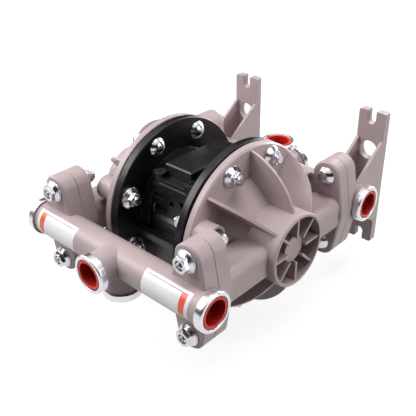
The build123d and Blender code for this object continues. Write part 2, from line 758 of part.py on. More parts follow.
# Feet: notched plates on webs, moulded in one with the inlet manifold
def make_foot(outward):
    """The plate of one foot, with an open notch at each end and two round holes."""
    with BuildPart() as foot:
        plate_back = facing_y(foot_reach - foot_thickness, z=foot_level)
        with BuildSketch(plate_back):
            with Locations((outward * (foot_inner_x + foot_outer_x) / 2, 0)):
                RectangleRounded(foot_outer_x - foot_inner_x, 2 * foot_half_height, foot_corner)
            for end in (-1, 1):
                notch_round = end * (foot_half_height - foot_notch_depth + foot_notch_width / 2)
                with Locations((outward * foot_notch_x, notch_round)):
                    Circle(foot_notch_width / 2, mode=Mode.SUBTRACT)
                with Locations((outward * foot_notch_x, notch_round + end * foot_notch_depth / 2)):
                    Rectangle(foot_notch_width, foot_notch_depth, mode=Mode.SUBTRACT)
                with Locations((outward * foot_notch_x, end * foot_hole_level)):
                    Circle(foot_hole_radius, mode=Mode.SUBTRACT)
        extrude(amount=foot_thickness)
    return foot.part


with BuildPart() as right_webs:
    for web_x in (foot_inner_x, foot_outer_x - foot_web):
        with BuildSketch(facing_x(web_x)):
            with BuildLine():
                Polyline(
                    (tube_y, foot_web_root),
                    (foot_reach - foot_thickness, foot_web_top),
                    (foot_reach - foot_thickness, -foot_web_top),
                    (tube_y, -foot_web_root),
                    close=True,
                )
            make_face()
        extrude(amount=foot_web)
    rod(facing_x(0, tube_y), tube_radius, side_port_reach, Mode.SUBTRACT)
save(both_sides(right_webs.part), "foot_webs")
save(make_foot(-1), "left_foot")
save(make_foot(1), "right_foot")


# Polished rings round the port mouths
def make_port_rings(side):
    """A cup-shaped ring on each of the four mouths of a manifold."""
    with BuildPart() as rings:
        for mouth in port_planes(side):
            rod(mouth, ring_radius, -ring_length)
        chamfer(rings.edges().filter_by(GeomType.CIRCLE), ring_chamfer)
        for mouth in port_planes(side):
            rod(mouth, ring_mouth_radius, -ring_length, Mode.SUBTRACT)
            rod(mouth.offset(-ring_face), tube_radius + running_clearance, -ring_length, Mode.SUBTRACT)
    return rings.part


save(make_port_rings(outlet), "outlet_port_rings")
save(make_port_rings(inlet), "inlet_port_rings")


# Push-in caps, hollow like cups
def make_cap(mouth):
    """A cap whose rim lies on the end of the tube, inside the ring."""
    with BuildPart() as cap:
        tube_end = mouth.offset(-ring_face)
        rod(tube_end, ring_mouth_radius - free_clearance, cap_rim)
        rod(tube_end, port_thread_radius - free_clearance, -cap_depth)
        hollow = port_thread_radius - free_clearance - cap_wall
        rod(tube_end.offset(cap_rim), hollow, cap_floor - cap_rim - cap_depth, Mode.SUBTRACT)
    return cap.part


save(make_cap(port_planes(outlet)[1]), "outlet_side_port_cap")
save(make_cap(port_planes(outlet)[2]), "outlet_front_port_cap")
save(make_cap(port_planes(inlet)[1]), "inlet_side_port_cap")
save(make_cap(port_planes(inlet)[3]), "inlet_top_port_cap")


# Ball check valves: balls, seats and the sealing rings at the four joints
def make_ball(x, side):
    """A check ball at rest on its seat."""
    with BuildPart() as ball:
        with Locations((x, shaft_y + ball_y[side], shaft_z)):
            Sphere(ball_radius)
    return ball.part


save(make_ball(-duct_x, outlet), "left_outlet_ball")
save(make_ball(duct_x, outlet), "right_outlet_ball")
save(make_ball(-duct_x, inlet), "left_inlet_ball")
save(make_ball(duct_x, inlet), "right_inlet_ball")

with BuildPart() as seats:
    for y in joint_y.values():
        for x in duct_sides:
            rod(facing_y(y, x), seat_radius, seat_thickness)
            rod(facing_y(y, x), seat_bore, seat_thickness, Mode.SUBTRACT)
save(seats.part, "ball_seats")

with BuildPart() as o_rings:
    for y in joint_y.values():
        for x in duct_sides:
            with BuildSketch(facing_z(0)):
                with Locations((x + o_ring_radius, y + o_ring_section)):
                    Circle(o_ring_section)
            revolve(axis=Axis((x, shaft_y, shaft_z), (0, 1, 0)))
save(o_rings.part, "joint_o_rings")


# Fasteners: flanged nuts, domed and hexagonal bolts, plain washers
def nut_body(plane, height):
    """The cone flange and hexagon that nuts and hexagonal heads share, rising from the plane."""
    with BuildSketch(plane) as flange:
        Circle(nut_flange_radius)
    extrude(flange.sketch, amount=nut_cone_height, taper=nut_cone_taper)
    with BuildSketch(plane) as hexagon:
        RegularPolygon(nut_corner_radius, 6)
    extrude(hexagon.sketch, amount=height)


def dome_bolt(length):
    """A bolt with a domed head above the plane XY and a shank below it."""
    sphere_radius = (dome_head_radius**2 + dome_head_height**2) / (2 * dome_head_height)
    half_turn = asin(dome_head_radius / sphere_radius) / 2
    shoulder_height = dome_head_height - sphere_radius * (1 - cos(half_turn))
    dome_shoulder = (sphere_radius * sin(half_turn), shoulder_height)
    with BuildPart() as bolt:
        with BuildSketch(Plane.XZ):
            with BuildLine():
                Line((0, 0), (dome_head_radius, 0))
                ThreePointArc((dome_head_radius, 0), dome_shoulder, (0, dome_head_height))
                Line((0, dome_head_height), (0, 0))
            make_face()
        revolve(axis=Axis.Z)
        rod(Plane.XY, bolt_radius, -length)
    return bolt.part


washer_stack = washer_thickness + nut_height + bolt_end
flange_grip = cover_flange_out - cap_flange_in
boss_grip = boss_seat - cap_flange_in
joint_grip = {side: cover_ear[side] + manifold_ear[side] for side in (outlet, inlet)}


def round_spots(x, angles, outward):
    """Planes on the bolt circle at these angles, facing the given way along the shaft."""
    return [
        facing_x(x, bolt_circle * cos(radians(angle)), bolt_circle * sin(radians(angle)), outward)
        for angle in angles
    ]


flange_nut_seats = []
short_bolt_seats = []
long_bolt_seats = []
for side in (-1, 1):
    short_bolt_seats += round_spots(side * cap_flange_in, head_angles, -side)
    long_bolt_seats += round_spots(side * boss_seat, boss_angles, side)
    flange_nut_seats += round_spots(side * cover_flange_out, head_angles, side)
    flange_nut_seats += round_spots(side * cap_flange_in, boss_angles, -side)

ear_spots = [(x, z) for x in duct_sides for z in (-ear_bolt_z, ear_bolt_z)]
outlet_bolt_seats = [facing_y(manifold_ear_face[outlet], x, z, -1) for x, z in ear_spots]
outlet_nut_seats = [facing_y(cover_ear_face[outlet], x, z, 1) for x, z in ear_spots]
inlet_bolt_seats = [facing_y(cover_ear_face[inlet], x, z, -1) for x, z in ear_spots]
inlet_nut_seats = [facing_y(manifold_ear_face[inlet], x, z, 1) for x, z in ear_spots]
joint_nut_seats = outlet_nut_seats + inlet_nut_seats


def make_nuts(places):
    """Flanged nuts, each on its washer."""
    with BuildPart() as nuts:
        for place in places:
            nut_body(place.offset(washer_thickness), nut_height)
            rod(place, bolt_radius + thread_clearance, washer_stack, Mode.SUBTRACT)
    return nuts.part


def make_washers(places):
    """Plain washers."""
    with BuildPart() as washers:
        for place in places:
            rod(place, washer_radius, washer_thickness)
            rod(place, bolt_radius + thread_clearance, washer_thickness, Mode.SUBTRACT)
    return washers.part


def make_dome_bolts(places, grip):
    """Domed bolts whose ends stand a little way out of their nuts."""
    with BuildPart() as bolts:
        with Locations(*places):
            add(dome_bolt(grip + washer_stack))
    return bolts.part


save(make_nuts(flange_nut_seats), "flange_nuts")
save(make_washers(flange_nut_seats), "flange_washers")
save(make_dome_bolts(short_bolt_seats, flange_grip), "flange_bolts_short")
save(make_dome_bolts(long_bolt_seats, boss_grip), "flange_bolts_long")
save(make_nuts(joint_nut_seats), "manifold_nuts")
save(make_washers(joint_nut_seats + outlet_bolt_seats), "manifold_washers")
save(make_dome_bolts(inlet_bolt_seats, joint_grip[inlet]), "inlet_manifold_bolts")

with BuildPart() as outlet_bolts:
    for place in outlet_bolt_seats:
        head_seat = place.offset(washer_thickness)
        nut_body(head_seat, nut_height)
        rod(head_seat.offset(nut_height), bolt_radius, -bolt_end, Mode.SUBTRACT)
        rod(head_seat, bolt_radius, -(washer_thickness + joint_grip[outlet] + washer_stack))
save(outlet_bolts.part, "outlet_manifold_bolts")


# Exhaust muffler
with BuildPart() as muffler:
    mouth = facing_z(belly_mouth, y=-air_boss_offset, outward=-1)
    rod(mouth, muffler_radius, muffler_length)
    for level in range(muffler_groove_count):
        groove_start = muffler_collar + level * (muffler_length - muffler_collar) / muffler_groove_count
        with BuildSketch(mouth.offset(groove_start)):
            Circle(muffler_radius)
            Circle(muffler_radius - muffler_groove, mode=Mode.SUBTRACT)
        extrude(amount=muffler_groove, mode=Mode.SUBTRACT)
    rod(mouth, exhaust_port_radius - thread_clearance, free_clearance - air_port_depth)
save(muffler.part, "exhaust_muffler")
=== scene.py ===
"""Dresses an air operated double diaphragm pump: fasteners, port rings, caps, threads, stickers,
finishes and a studio."""

import json
from math import cos, pi, radians, sin

import bmesh
import bpy
import numpy as np
from bpy.props import FloatProperty, FloatVectorProperty, IntProperty, PointerProperty
from mathutils import Matrix, Vector

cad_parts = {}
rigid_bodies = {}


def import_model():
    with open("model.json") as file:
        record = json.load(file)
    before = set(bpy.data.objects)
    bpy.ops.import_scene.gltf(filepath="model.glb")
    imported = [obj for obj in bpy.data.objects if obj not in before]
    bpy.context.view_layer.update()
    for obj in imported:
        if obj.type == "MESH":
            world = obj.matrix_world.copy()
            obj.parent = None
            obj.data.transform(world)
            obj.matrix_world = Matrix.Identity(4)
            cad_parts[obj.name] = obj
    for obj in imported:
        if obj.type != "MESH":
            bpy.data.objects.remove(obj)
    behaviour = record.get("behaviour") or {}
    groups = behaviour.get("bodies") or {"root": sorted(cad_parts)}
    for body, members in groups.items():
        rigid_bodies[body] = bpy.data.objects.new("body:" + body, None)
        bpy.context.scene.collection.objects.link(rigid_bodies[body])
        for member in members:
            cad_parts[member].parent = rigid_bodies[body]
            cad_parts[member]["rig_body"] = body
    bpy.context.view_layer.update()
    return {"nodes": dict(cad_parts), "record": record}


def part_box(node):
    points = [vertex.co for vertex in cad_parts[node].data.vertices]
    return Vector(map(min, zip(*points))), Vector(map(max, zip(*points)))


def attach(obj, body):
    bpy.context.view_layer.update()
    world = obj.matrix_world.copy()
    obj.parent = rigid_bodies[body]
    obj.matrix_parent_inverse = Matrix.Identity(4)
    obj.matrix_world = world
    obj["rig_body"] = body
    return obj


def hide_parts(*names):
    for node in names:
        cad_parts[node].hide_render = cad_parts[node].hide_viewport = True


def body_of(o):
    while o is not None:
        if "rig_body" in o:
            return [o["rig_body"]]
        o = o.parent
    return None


bl_info = {
    "name": "Diaphragm pump dressing",
    "version": (1, 0, 0),
    "blender": (4, 5, 0),
    "location": "3D View > Sidebar > Pump",
    "description": "Makes the fine pieces and finishes of an air operated double diaphragm pump",
    "category": "Object",
}

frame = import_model()

FULL_TURN = 2 * pi
# A hexagon's distance to its flats as a share of its radius to the corners
TO_CORNER = cos(pi / 6)
# Points nearer to each other than this are one point
TINY = 1e-6
# Edges that turn more than this stay sharp
CREASE = radians(32)
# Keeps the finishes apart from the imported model's plain materials
PREFIX = "pump_"
# The height of a nut's or head's flange edge as a share of the flange's radius
FLANGE_EDGE = 0.08
# Where a hexagon's chamfer starts, as a share of the distance to its flats, and how far it falls,
# as a share of its width
CHAMFER_START = 0.97
CHAMFER_FALL = 0.6
# How far the tips of the air cap screws lie from the pump's middle
AIR_SCREW_TIP = 0.0126
# The colour sockets of a mix node, which share their names with others
MIX_FIRST, MIX_SECOND, MIX_RESULT = 6, 7, 2


# Sizes and colours that a user would change
def length(name, text, default):
    """A size in metres."""
    return FloatProperty(
        name=name, description=text, default=default, min=0.0, subtype="DISTANCE", unit="LENGTH"
    )


def colour(name, text, default):
    """A linear colour."""
    return FloatVectorProperty(
        name=name, description=text, default=default, min=0.0, max=1.0, size=3, subtype="COLOR"
    )


class PumpFastenerSizes(bpy.types.PropertyGroup):
    """Sizes of the nuts, bolts, washers and screws"""

    bolt_circle: length("Bolt circle", "Radius of the circle of flange bolts", 0.066)
    first_bolt: FloatProperty(
        name="First bolt",
        description="Angle of the first flange bolt",
        default=radians(22.5),
        subtype="ANGLE",
    )
    air_flange: length("Air cap flange", "Thickness of the air cap's flange", 0.0077)
    shank: length("Shank", "Radius of the bolt shanks", 0.004)
    bore: length("Nut bore", "Radius of the bore in nuts and washers", 0.0041)
    pitch: length("Thread pitch", "Distance between two thread crests", 0.00125)
    thread: length("Thread depth", "Depth of the thread grooves", 0.00062)
    threaded: length("Threaded length", "Length of thread on each bolt", 0.012)
    flange: length("Nut flange", "Radius of the flange under a nut", 0.0095)
    corner: length("Nut corner", "Radius to the corners of a nut's hexagon", 0.0064)
    head_corner: length("Head corner", "Radius to the corners of a bolt head's hexagon", 0.0074)
    cone_height: length("Cone height", "Height of the cone from a flange to its hexagon", 0.0027)
    nut_height: length("Nut height", "Height of a nut or of a hexagonal head", 0.007)
    bolt_end: length("Bolt end", "How far a bolt stands out of its nut", 0.0032)
    washer: length("Washer", "Radius of the washers", 0.0098)
    washer_thickness: length("Washer thickness", "Thickness of the washers", 0.0014)
    dome: length("Dome", "Radius of a domed bolt head", 0.0086)
    dome_height: length("Dome height", "Height of a domed bolt head", 0.0054)
    screw_head: length("Screw head", "Radius of the socket screws' heads", 0.0043)
    screw_head_height: length("Screw head height", "Height of the socket screws' heads", 0.0026)
    screw_shank: length("Screw shank", "Radius of the socket screws' shanks", 0.0025)
    facets: IntProperty(
        name="Facets", description="Steps round a fastener", default=48, min=24, max=96
    )


class PumpFittingSizes(bpy.types.PropertyGroup):
    """Sizes of the ports, their rings and caps, and the stickers"""

    tube: length("Tube", "Outer radius of the manifold tubes", 0.015)
    tube_offset: length("Tube offset", "Distance of the tubes' axes from the shaft", 0.105)
    ring: length("Ring", "Outer radius of a port ring", 0.017)
    ring_length: length("Ring length", "Length of a port ring", 0.007)
    ring_face: length("Ring face", "Thickness of a port ring's face", 0.0015)
    ring_mouth: length("Ring mouth", "Radius of the opening in a port ring", 0.0136)
    ring_flare: length("Ring flare", "How much a ring opens at its back end", 0.0008)
    thread_radius: length("Port thread", "Outer radius of the thread in a port", 0.0121)
    thread_length: length("Port thread length", "Depth of the thread in a port", 0.011)
    cap_rim: length("Cap rim", "Radius of a cap's rim", 0.0128)
    cap_rim_height: length("Cap rim height", "Thickness of a cap's rim", 0.0012)
    cap_body: length("Cap body", "Outer radius of a cap's cup", 0.0118)
    cap_wall: length("Cap wall", "Wall of a cap's cup", 0.0012)
    cap_depth: length("Cap depth", "Depth of a cap's cup", 0.0125)
    cap_taper: length("Cap taper", "How much a cap's cup narrows towards its floor", 0.0013)
    cap_floor: length("Cap floor", "Floor of a cap's cup", 0.0014)
    sticker: length("Sticker", "Thickness of the stickers", 0.00012)


class PumpColours(bpy.types.PropertyGroup):
    """Colours of the finishes"""

    taupe: colour("Moulded covers", "Colour of the covers and manifolds", (0.445, 0.349, 0.354))
    black: colour("Air section", "Colour of the air section", (0.0042, 0.004, 0.0058))
    steel: colour("Steel", "Colour of the polished steel", (0.60, 0.585, 0.615))
    cap: colour("Caps", "Colour of the caps' rims", (0.72, 0.024, 0.014))
    # Painted shade: a dark red laid on the caps' insides in place of the shade deep in their cups
    cap_painted_shade: colour("Cap insides", "Colour deep inside the caps", (0.16, 0.003, 0.003))
    paper: colour("Sticker", "Colour of the blank stickers", (0.86, 0.85, 0.87))
    band: colour("Sticker band", "Colour of the stickers' band", (0.80, 0.115, 0.055))
    bronze: colour("Bronze", "Colour of bushings and the muffler", (0.55, 0.33, 0.15))
    white: colour("White plastic", "Colour of the balls and diaphragms", (0.84, 0.83, 0.80))
    rubber: colour("Rubber", "Colour of seals", (0.018, 0.017, 0.018))
    fibre: colour("Gaskets", "Colour of the fibre gaskets", (0.20, 0.20, 0.21))


# Numpy surfaces
def rounded(corners, radius, steps=3, closed=True):
    """A profile with soft corners. Each corner gives way to a parabola: the weighted mean of the
    corner and of two points on its sides, a radius away or half a side where that is shorter."""
    corners = np.array(corners, float)
    radius = np.broadcast_to(np.array(radius, float), len(corners)).copy()
    if not closed:
        radius[[0, -1]] = 0.0
    before = np.roll(corners, 1, axis=0) - corners
    after = np.roll(corners, -1, axis=0) - corners
    before_length = np.linalg.norm(before, axis=1) + TINY**2
    after_length = np.linalg.norm(after, axis=1) + TINY**2
    start = corners + before * (np.minimum(radius, before_length / 2) / before_length)[:, None]
    end = corners + after * (np.minimum(radius, after_length / 2) / after_length)[:, None]
    share = np.linspace(0, 1, steps + 1)[None, :, None]
    bends = (1 - share) ** 2 * start[:, None] + 2 * share * (1 - share) * corners[:, None]
    return (bends + share**2 * end[:, None]).reshape(-1, 2)


def hexagon(angle, corner):
    """The radius of a hexagon at an angle: its flat's distance over the cosine of the angle off
    the flat's middle."""
    return corner * TO_CORNER / np.cos(np.mod(angle, pi / 3) - pi / 6)


def thread_wave(angle, height, pitch):
    """A screw thread's depth from 0 at the crest to 1 at the root, a flattened triangle wave that
    climbs one pitch in a turn."""
    climb = np.mod(height / pitch + angle / FULL_TURN, 1.0)
    return np.clip(1.25 * np.abs(2 * climb - 1) - 0.125, 0.0, 1.0)


def faded(height, start, end, pitch):
    """A thread's strength from 0 to 1: it grows over the first pitch above its end and wanes over
    the last one below its start."""
    return np.clip((height - end) / pitch, 0, 1) * np.clip((start - height) / pitch, 0, 1)


def turned(profile, facets, rule=None):
    """A profile of radius and height carried round the axis: x and y are the radius times the
    cosine and sine of the angle, z is the height. A rule may change the radius with the angle."""
    angle = (np.arange(facets) * FULL_TURN / facets)[:, None]
    radius = np.broadcast_to(profile[None, :, 0], (facets, len(profile)))
    height = np.broadcast_to(profile[None, :, 1], radius.shape)
    if rule:
        radius = rule(angle, radius, height)
    return np.stack([radius * np.cos(angle), radius * np.sin(angle), height], axis=-1)


def placed(shape, origins, axes, turns=None):
    """Copies of a shape: each point is the origin plus its x, y and z along two square directions
    and the axis. A turn swings the two directions round the axis."""
    origins, axes = np.array(origins, float), np.array(axes, float)
    helper = np.where(np.abs(axes[:, 2:3]) > 0.9, [[0.0, 1.0, 0.0]], [[0.0, 0.0, 1.0]])
    first = np.cross(helper, axes)
    first /= np.linalg.norm(first, axis=1, keepdims=True)
    second = np.cross(axes, first)
    turns = np.zeros(len(axes)) if turns is None else np.array(turns, float)
    across = np.cos(turns)[:, None] * first + np.sin(turns)[:, None] * second
    along = np.cross(axes, across)
    frames = np.stack([across, along, axes], axis=1)
    return np.einsum("uvi,kij->kuvj", shape, frames) + origins[:, None, None, :]


def grid_faces(rows, columns, wrap_rows, wrap_columns):
    """Quads between neighbours of a grid, as four point numbers each."""
    row = np.arange(rows if wrap_rows else rows - 1)[:, None]
    column = np.arange(columns if wrap_columns else columns - 1)[None, :]
    next_row, next_column = (row + 1) % rows, (column + 1) % columns
    corners = [row * columns + column, next_row * columns + column]
    corners += [next_row * columns + next_column, row * columns + next_column]
    shape = (row.size, column.size)
    return np.stack([np.broadcast_to(corner, shape) for corner in corners], -1).reshape(-1, 4)


def grid_map(rows, columns):
    """The map of a grid's quads: u goes from 0 to 1 along the rows and v along the columns."""
    u, v = np.meshgrid(np.arange(rows) / rows, np.arange(columns) / columns, indexing="ij")
    step_u, step_v = 1 / rows, 1 / columns
    quad = [(u, v), (u + step_u, v), (u + step_u, v + step_v), (u, v + step_v)]
    return np.stack([np.stack(corner, -1) for corner in quad], 2).reshape(-1, 4, 2)


def outward(points, faces):
    """True if the faces point outwards: the sum of the corners' triple products is six times the
    volume, and above zero."""
    a, b, c, d = (points[faces[:, corner]] for corner in range(4))
    return np.einsum("ij,ij->i", a, np.cross(b, c) + np.cross(c, d)).sum() > 0


def in_scene(name, data):
    """A new object at the origin that shows some data."""
    thing = bpy.data.objects.new(name, data)
    bpy.context.scene.collection.objects.link(thing)
    return thing


def build(name, copies, finish, replaces=(), wrap=(True, False)):
    """Puts grids of points, one for each copy, into one mesh, and the piece rides on its body."""
    count, rows, columns = copies.shape[:3]
    faces = grid_faces(rows, columns, *wrap)
    face_map = grid_map(rows if wrap[0] else rows - 1, columns if wrap[1] else columns - 1)
    first = copies[0].reshape(-1, 3)
    if not outward(first - first.mean(0), faces):
        faces, face_map = faces[:, ::-1], face_map[:, ::-1]
    numbers = (faces[None] + (np.arange(count) * rows * columns)[:, None, None]).reshape(-1)
    mesh = bpy.data.meshes.new(name)
    mesh.vertices.add(count * rows * columns)
    mesh.vertices.foreach_set("co", copies.reshape(-1).astype(np.float32))
    mesh.loops.add(len(numbers))
    mesh.loops.foreach_set("vertex_index", numbers.astype(np.int32))
    mesh.polygons.add(len(numbers) // 4)
    mesh.polygons.foreach_set("loop_start", np.arange(0, len(numbers), 4, dtype=np.int32))
    mesh.update(calc_edges=True)
    layer = mesh.uv_layers.new(name="surface")
    layer.data.foreach_set("uv", np.tile(face_map.reshape(-1), count).astype(np.float32))
    work = bmesh.new()
    work.from_mesh(mesh)
    bmesh.ops.remove_doubles(work, verts=work.verts, dist=TINY)
    work.to_mesh(mesh)
    work.free()
    mesh.shade_smooth()
    mesh.set_sharp_from_angle(angle=CREASE)
    mesh.materials.append(finish)
    piece = in_scene(name, mesh)
    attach(piece, body_of_node(replaces[0]) if replaces else "pump")
    if replaces:
        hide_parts(*replaces)


def body_of_node(node):
    """The body that carries a CAD node."""
    return np.atleast_1d(body_of(frame["nodes"][node]))[0]


# Places read from the frame
def middle(node):
    """The middle of a CAD node's box."""
    low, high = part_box(node)
    return (np.array(low) + np.array(high)) / 2


SHAFT = middle("diaphragm_shaft")
AIR_CAP_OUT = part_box("right_air_cap")[1][0]


def bolt_spots(sizes, x, steps, outward_x):
    """Places on both sides of the pump on the circle of flange bolts."""
    origins, axes = [], []
    for side in (-1, 1):
        for step in steps:
            angle = sizes.first_bolt + step * pi / 4
            y = SHAFT[1] + sizes.bolt_circle * cos(angle)
            z = SHAFT[2] + sizes.bolt_circle * sin(angle)
            origins.append((side * x, y, z))
            axes.append((side * outward_x, 0, 0))
    return origins, axes


# Finishes
def feed(tree, node, inputs):
    """Feeds a node's inputs by name or number, each from a socket or with a plain value."""
    for key, value in dict(inputs).items():
        if isinstance(value, bpy.types.NodeSocket):
            tree.links.new(value, node.inputs[key])
        else:
            node.inputs[key].default_value = value


def add_node(tree, kind, inputs=(), **settings):
    """Adds a shader node with its settings, feeds its inputs and returns it."""
    node = tree.nodes.new("ShaderNode" + kind)
    for key, value in settings.items():
        setattr(node, key, value)
    feed(tree, node, inputs)
    return node


def computed(tree, operation, *values):
    """The result of one step of arithmetic on sockets and plain numbers."""
    return add_node(tree, "Math", dict(enumerate(values)), operation=operation).outputs[0]


def mixed(tree, share, first, second):
    """A colour between two, by a share from 0 to 1."""
    inputs = {"Factor": share, MIX_FIRST: first, MIX_SECOND: second}
    return add_node(tree, "Mix", inputs, data_type="RGBA").outputs[MIX_RESULT]


def empty_tree(owner):
    """The emptied node tree of a material or a world."""
    owner.use_nodes = True
    owner.node_tree.nodes.clear()
    return owner.node_tree


def new_finish(name):
    """Makes a material, and returns its tree, its surface shader and its coordinates."""
    finish = bpy.data.materials.new(PREFIX + name)
    tree = empty_tree(finish)
    surface = add_node(tree, "BsdfPrincipled")
    add_node(tree, "OutputMaterial", {"Surface": surface.outputs["BSDF"]})
    return tree, surface, add_node(tree, "TexCoord")


def cloudy(tree, where, scale, detail=4.0, roughness=0.55):
    """A soft noise over the object."""
    inputs = {"Scale": scale, "Detail": detail, "Roughness": roughness}
    inputs["Vector"] = where.outputs["Object"]
    return add_node(tree, "TexNoise", inputs).outputs["Fac"]


def ranged(tree, value, low, high, start=0.3, end=0.7):
    """Carries a value from start..end to low..high."""
    inputs = {"Value": value, "From Min": start, "From Max": end, "To Min": low, "To Max": high}
    return add_node(tree, "MapRange", inputs).outputs["Result"]


def tinted(tree, value, colour_low, colour_high):
    """A colour between two, by a value from 0.3 to 0.7."""
    ramp = add_node(tree, "ValToRGB", {"Fac": value})
    stops = zip(ramp.color_ramp.elements, (0.3, 0.7), (colour_low, colour_high))
    for stop, position, tint in stops:
        stop.position, stop.color = position, (*tint, 1.0)
    return ramp.outputs["Color"]


def scaled(tint, share):
    """A colour made lighter or darker."""
    return tuple(min(1.0, channel * share) for channel in tint)


def relief(tree, surface, layers, soft_edge):
    """Stacks bumps of (height, depth in metres, strength) on edges that catch light as if slightly
    round."""
    below = {}
    if soft_edge:
        bevel = add_node(tree, "Bevel", {"Radius": soft_edge}, samples=6)
        below = {"Normal": bevel.outputs["Normal"]}
    for height, depth, strength in layers:
        inputs = {"Height": height, "Distance": depth, "Strength": strength, **below}
        below = {"Normal": add_node(tree, "Bump", inputs).outputs["Normal"]}
    feed(tree, surface, below)


def moulded(
    name, tint, roughness, grain_scale, grain_depth, soft_edge=0.0007, mottle=0.06, shine=0.5
):
    """Moulded plastic: a slow drift and fine mottle of tone, spark-eroded grain and flow marks."""
    tree, surface, where = new_finish(name)
    drift = cloudy(tree, where, 14.0, 2.0)
    mottled = cloudy(tree, where, 420.0, 3.0, 0.7)
    blend = computed(tree, "MULTIPLY_ADD", mottled, 0.45, computed(tree, "MULTIPLY", drift, 0.55))
    worn = cloudy(tree, where, 60.0)
    feed(tree, surface, {
        "Base Color": tinted(tree, blend, scaled(tint, 1 - mottle), scaled(tint, 1 + mottle)),
        "Roughness": ranged(tree, worn, roughness - 0.06, roughness + 0.07),
        "Specular IOR Level": shine,
    })
    grain = cloudy(tree, where, grain_scale, 2.0, 0.6)
    flow = cloudy(tree, where, 35.0, 2.0)
    relief(tree, surface, [(grain, grain_depth, 0.7), (flow, 0.0006, 0.12)], soft_edge)


def smeared_metal(tree, where, surface, tint, roughness, scale, tone, gloss):
    """A bare metal whose tone and roughness drift by their two shares with faint smears."""
    smear = cloudy(tree, where, scale, 3.0)
    feed(tree, surface, {
        "Base Color": tinted(tree, smear, scaled(tint, tone[0]), scaled(tint, tone[1])),
        "Metallic": 1.0,
        "Roughness": ranged(tree, smear, roughness * gloss[0], roughness * gloss[1]),
    })


def polished(name, tint, roughness):
    """Polished steel with faint smears and fine scratches that run one way."""
    tree, surface, where = new_finish(name)
    smeared_metal(tree, where, surface, tint, roughness, 90.0, (0.93, 1.05), (0.7, 1.5))
    inputs = {"Vector": where.outputs["Object"], "Scale": (1.0, 6.0, 9.0)}
    stretch = add_node(tree, "Mapping", inputs)
    scratch = add_node(tree, "TexNoise", {"Vector": stretch.outputs["Vector"], "Scale": 320.0})
    relief(tree, surface, [(scratch.outputs["Fac"], 0.00004, 0.35)], 0.0003)


def lathe_turned(name, tint, roughness):
    """Polished turned steel: fine marks run round the piece, along the map's u."""
    tree, surface, where = new_finish(name)
    smeared_metal(tree, where, surface, tint, roughness, 70.0, (0.94, 1.04), (0.7, 1.4))
    stretch = add_node(tree, "Mapping", {"Vector": where.outputs["UV"], "Scale": (1.0, 160.0, 1.0)})
    inputs = {"Vector": stretch.outputs["Vector"], "Scale": 2.0, "Detail": 3.0}
    marks = add_node(tree, "TexNoise", inputs)
    relief(tree, surface, [(marks.outputs["Fac"], 0.00006, 0.5)], 0.0)


def blank_sticker(name, paper, band):
    """A blank sticker: white film with a plain coloured band and a thin line, and no print."""
    tree, surface, where = new_finish(name)
    split = add_node(tree, "SeparateXYZ", {"Vector": where.outputs["UV"]})
    across, around = split.outputs["X"], split.outputs["Y"]

    def inside(value, start, end):
        """1 where a value lies between start and end."""
        return computed(tree, "COMPARE", value, (start + end) / 2, (end - start) / 2)

    in_band = computed(tree, "MULTIPLY", inside(across, 0.07, 0.19), inside(around, 0.05, 0.46))
    on_line = computed(tree, "MULTIPLY", inside(across, 0.19, 0.93), inside(around, 0.052, 0.066))
    film = tinted(tree, cloudy(tree, where, 60.0), scaled(paper, 0.97), scaled(paper, 1.02))
    banded = mixed(tree, in_band, film, (*band, 1.0))
    lined = mixed(tree, on_line, banded, (0.10, 0.09, 0.10, 1.0))
    feed(tree, surface, {"Base Color": lined, "Roughness": 0.32})
    relief(tree, surface, [(cloudy(tree, where, 160.0), 0.00005, 0.4)], 0.0)


def glossy_cap(name, tint, inside):
    """Soft glossy plastic with a faint swirl from the mould, and painted shade: its colour turns
    darker from the mouth inwards along the map's v."""
    tree, surface, where = new_finish(name)
    swirl = cloudy(tree, where, 130.0, 3.0)
    split = add_node(tree, "SeparateXYZ", {"Vector": where.outputs["UV"]})
    # Painted shade: from the mouth inwards along v the colour turns to the dark inside tone
    depth = ranged(tree, split.outputs["Y"], 0.0, 1.0, 0.53, 0.64)
    outer_tone = tinted(tree, swirl, scaled(tint, 0.9), scaled(tint, 1.1))
    painted_shade_tone = tinted(tree, swirl, scaled(inside, 0.8), scaled(inside, 1.2))
    feed(tree, surface, {
        "Base Color": mixed(tree, depth, outer_tone, painted_shade_tone),
        "Roughness": ranged(tree, cloudy(tree, where, 300.0), 0.30, 0.42),
        "Subsurface Weight": 0.08,
        "Subsurface Radius": (0.002, 0.0004, 0.0003),
    })
    relief(tree, surface, [(swirl, 0.0001, 0.25)], 0.0004)


def granular(name, tint, roughness, metallic, scale, depth):
    """Sintered metal or fibre: a coarse grain in colour, gloss and height."""
    tree, surface, where = new_finish(name)
    grain = add_node(tree, "TexVoronoi", {"Vector": where.outputs["Object"], "Scale": scale})
    distance = grain.outputs["Distance"]
    feed(tree, surface, {
        "Base Color": tinted(tree, distance, scaled(tint, 1.15), scaled(tint, 0.7)),
        "Roughness": ranged(tree, distance, roughness - 0.1, roughness + 0.15),
        "Metallic": metallic,
    })
    relief(tree, surface, [(distance, depth, 0.6)], 0.0)


def make_finishes(colours):
    """Makes every finish of the pump: those of the record's slots, and two of the scene's own."""
    moulded("taupe_plastic", colours.taupe, 0.42, 1500.0, 0.00006)
    moulded("black_plastic", colours.black, 0.32, 1100.0, 0.00008, mottle=0.12, shine=0.4)
    polished("polished_steel", colours.steel, 0.19)
    polished("zinc_steel", scaled(colours.steel, 0.85), 0.28)
    moulded("black_rubber", colours.rubber, 0.55, 2400.0, 0.00004, 0.0003, 0.15)
    moulded("white_ptfe", colours.white, 0.38, 900.0, 0.00003, 0.0005, 0.03)
    glossy_cap("red_plastic", colours.cap, colours.cap_painted_shade)
    granular("bronze", colours.bronze, 0.45, 1.0, 900.0, 0.00012)
    granular("grey_gasket", colours.fibre, 0.75, 0.0, 1400.0, 0.00005)
    lathe_turned("turned_steel", scaled(colours.steel, 1.15), 0.27)
    blank_sticker("sticker_film", colours.paper, colours.band)


